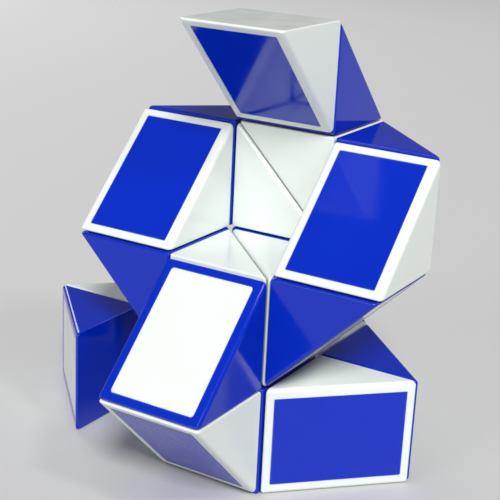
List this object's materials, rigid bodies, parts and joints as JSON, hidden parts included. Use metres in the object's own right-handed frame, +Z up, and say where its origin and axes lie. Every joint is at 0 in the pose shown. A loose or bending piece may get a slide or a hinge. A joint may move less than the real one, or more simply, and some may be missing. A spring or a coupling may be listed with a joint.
{
  "type": "twisty snake puzzle",
  "caption": "Chain of hollow triangular wedges in two colours, swivel-jointed face to face, folded into an upright cobra-like figure with a ball-shaped middle.",
  "frame": {"origin": "middle of the bounding box on the plane that the foot of the folded chain stands on", "axes": "+Z up, out of the foot; -Y is the side that the raised head leans over; +X is to the right when facing +Y"},
  "size_m": [0.085, 0.0844, 0.0857],
  "materials": {
    "white_plastic": "glossy injection-moulded ABS",
    "blue_plastic": "glossy injection-moulded ABS",
    "fastener_steel": "plain zinc-plated steel"
  },
  "bodies": {
    "wedge_01": {"wedge_01_white": "white_plastic", "panel_01_blue": "blue_plastic"},
    "wedge_02": {"wedge_02_blue": "blue_plastic", "panel_02_white": "white_plastic", "joint_screws_02": "fastener_steel"},
    "wedge_03": {"wedge_03_white": "white_plastic", "panel_03_blue": "blue_plastic"},
    "wedge_04": {"wedge_04_blue": "blue_plastic", "panel_04_white": "white_plastic", "joint_screws_04": "fastener_steel"},
    "wedge_05": {"wedge_05_white": "white_plastic", "panel_05_blue": "blue_plastic"},
    "wedge_06": {"wedge_06_blue": "blue_plastic", "panel_06_white": "white_plastic", "joint_screws_06": "fastener_steel"},
    "wedge_07": {"wedge_07_white": "white_plastic", "panel_07_blue": "blue_plastic"},
    "wedge_08": {"wedge_08_blue": "blue_plastic", "panel_08_white": "white_plastic", "joint_screws_08": "fastener_steel"},
    "wedge_09": {"wedge_09_white": "white_plastic", "panel_09_blue": "blue_plastic"},
    "wedge_10": {"wedge_10_blue": "blue_plastic", "panel_10_white": "white_plastic", "joint_screws_10": "fastener_steel"},
    "wedge_11": {"wedge_11_white": "white_plastic", "panel_11_blue": "blue_plastic"},
    "wedge_12": {"wedge_12_blue": "blue_plastic", "panel_12_white": "white_plastic", "joint_screws_12": "fastener_steel"},
    "wedge_13": {"wedge_13_white": "white_plastic", "panel_13_blue": "blue_plastic"},
    "wedge_14": {"wedge_14_blue": "blue_plastic", "panel_14_white": "white_plastic", "joint_screws_14": "fastener_steel"},
    "wedge_15": {"wedge_15_white": "white_plastic", "panel_15_blue": "blue_plastic"},
    "wedge_16": {"wedge_16_blue": "blue_plastic", "panel_16_white": "white_plastic", "joint_screws_16": "fastener_steel"},
    "wedge_17": {"wedge_17_white": "white_plastic", "panel_17_blue": "blue_plastic"},
    "wedge_18": {"wedge_18_blue": "blue_plastic", "panel_18_white": "white_plastic", "joint_screws_18": "fastener_steel"},
    "wedge_19": {"wedge_19_white": "white_plastic", "panel_19_blue": "blue_plastic"},
    "wedge_20": {"wedge_20_blue": "blue_plastic", "panel_20_white": "white_plastic", "joint_screws_20": "fastener_steel"},
    "wedge_21": {"wedge_21_white": "white_plastic", "panel_21_blue": "blue_plastic"},
    "wedge_22": {"wedge_22_blue": "blue_plastic", "panel_22_white": "white_plastic", "joint_screws_22": "fastener_steel"},
    "wedge_23": {"wedge_23_white": "white_plastic", "panel_23_blue": "blue_plastic"},
    "wedge_24": {"wedge_24_blue": "blue_plastic", "panel_24_white": "white_plastic", "joint_screws_24": "fastener_steel"}
  },
  "joints": [
    {"name": "swivel_01_02", "type": "hinge", "parent": "wedge_02", "child": "wedge_01", "pos_m": [0.01043, 0, 0.0751], "axis": [0, -1, 0], "continuous": true},
    {"name": "swivel_02_03", "type": "hinge", "parent": "wedge_03", "child": "wedge_02", "pos_m": [0.01043, 0.01075, 0.06435], "axis": [0, 0, 1], "continuous": true},
    {"name": "swivel_03_04", "type": "hinge", "parent": "wedge_04", "child": "wedge_03", "pos_m": [0.02118, 0.01075, 0.0536], "axis": [-1, 0, 0], "range_deg": [-1, 1]},
    {"name": "swivel_04_05", "type": "hinge", "parent": "wedge_05", "child": "wedge_04", "pos_m": [0.03193, 0, 0.0536], "axis": [0, 1, 0], "range_deg": [0, 180]},
    {"name": "swivel_05_06", "type": "hinge", "parent": "wedge_06", "child": "wedge_05", "pos_m": [0.03193, -0.01075, 0.04285], "axis": [0, 0, 1], "range_deg": [-270, 0]},
    {"name": "swivel_06_07", "type": "hinge", "parent": "wedge_07", "child": "wedge_06", "pos_m": [0.02118, -0.01075, 0.0321], "axis": [1, 0, 0], "range_deg": [-0.3, 1]},
    {"name": "swivel_07_08", "type": "hinge", "parent": "wedge_08", "child": "wedge_07", "pos_m": [0.01043, 0, 0.0321], "axis": [0, -1, 0], "range_deg": [-1, 0.2]},
    {"name": "swivel_08_09", "type": "hinge", "parent": "wedge_09", "child": "wedge_08", "pos_m": [0.01043, 0.01075, 0.04285], "axis": [0, 0, -1], "range_deg": [-1, 0.2]},
    {"name": "swivel_09_10", "type": "hinge", "parent": "wedge_10", "child": "wedge_09", "pos_m": [-0.00032, 0.01075, 0.0536], "axis": [1, 0, 0], "range_deg": [-0.3, 0.2]},
    {"name": "swivel_10_11", "type": "hinge", "parent": "wedge_11", "child": "wedge_10", "pos_m": [-0.01107, 0, 0.0536], "axis": [0, 1, 0], "range_deg": [-180, 0]},
    {"name": "swivel_11_12", "type": "hinge", "parent": "wedge_12", "child": "wedge_11", "pos_m": [-0.01107, -0.01075, 0.04285], "axis": [0, 0, 1], "range_deg": [0, 180]},
    {"name": "swivel_12_13", "type": "hinge", "parent": "wedge_13", "child": "wedge_12", "pos_m": [-0.00032, -0.01075, 0.0321], "axis": [-1, 0, 0], "range_deg": [-1, 1]},
    {"name": "swivel_13_14", "type": "hinge", "parent": "wedge_14", "child": "wedge_13", "pos_m": [0.01043, -0.0215, 0.0321], "axis": [0, 1, 0], "range_deg": [-1, 1]},
    {"name": "swivel_14_15", "type": "hinge", "parent": "wedge_15", "child": "wedge_14", "pos_m": [0.01043, -0.03225, 0.02135], "axis": [0, 0, 1], "continuous": true},
    {"name": "swivel_15_16", "type": "hinge", "parent": "wedge_16", "child": "wedge_15", "pos_m": [0.01043, -0.0215, 0.0106], "axis": [0, -1, 0], "range_deg": [-1, 1]},
    {"name": "swivel_16_17", "type": "hinge", "parent": "wedge_17", "child": "wedge_16", "pos_m": [0.02118, -0.01075, 0.0106], "axis": [-1, 0, 0], "range_deg": [-1, 1]},
    {"name": "swivel_17_18", "type": "hinge", "parent": "wedge_17", "child": "wedge_18", "pos_m": [0.03193, 0, 0.0106], "axis": [0, 1, 0], "range_deg": [-180, 0]},
    {"name": "swivel_18_19", "type": "hinge", "parent": "wedge_18", "child": "wedge_19", "pos_m": [0.02118, 0.01075, 0.0106], "axis": [-1, 0, 0], "range_deg": [-4, 4]},
    {"name": "swivel_19_20", "type": "hinge", "parent": "wedge_19", "child": "wedge_20", "pos_m": [0.01043, 0.0215, 0.0106], "axis": [0, 1, 0], "range_deg": [-4, 4]},
    {"name": "swivel_20_21", "type": "hinge", "parent": "wedge_20", "child": "wedge_21", "pos_m": [-0.00032, 0.03225, 0.0106], "axis": [-1, 0, 0], "continuous": true},
    {"name": "swivel_21_22", "type": "hinge", "parent": "wedge_21", "child": "wedge_22", "pos_m": [-0.01107, 0.0215, 0.0106], "axis": [0, -1, 0], "range_deg": [-4, 4]},
    {"name": "swivel_22_23", "type": "hinge", "parent": "wedge_22", "child": "wedge_23", "pos_m": [-0.02182, 0.01075, 0.0106], "axis": [-1, 0, 0], "continuous": true},
    {"name": "swivel_23_24", "type": "hinge", "parent": "wedge_23", "child": "wedge_24", "pos_m": [-0.03257, 0, 0.0106], "axis": [0, -1, 0], "continuous": true}
  ]
}
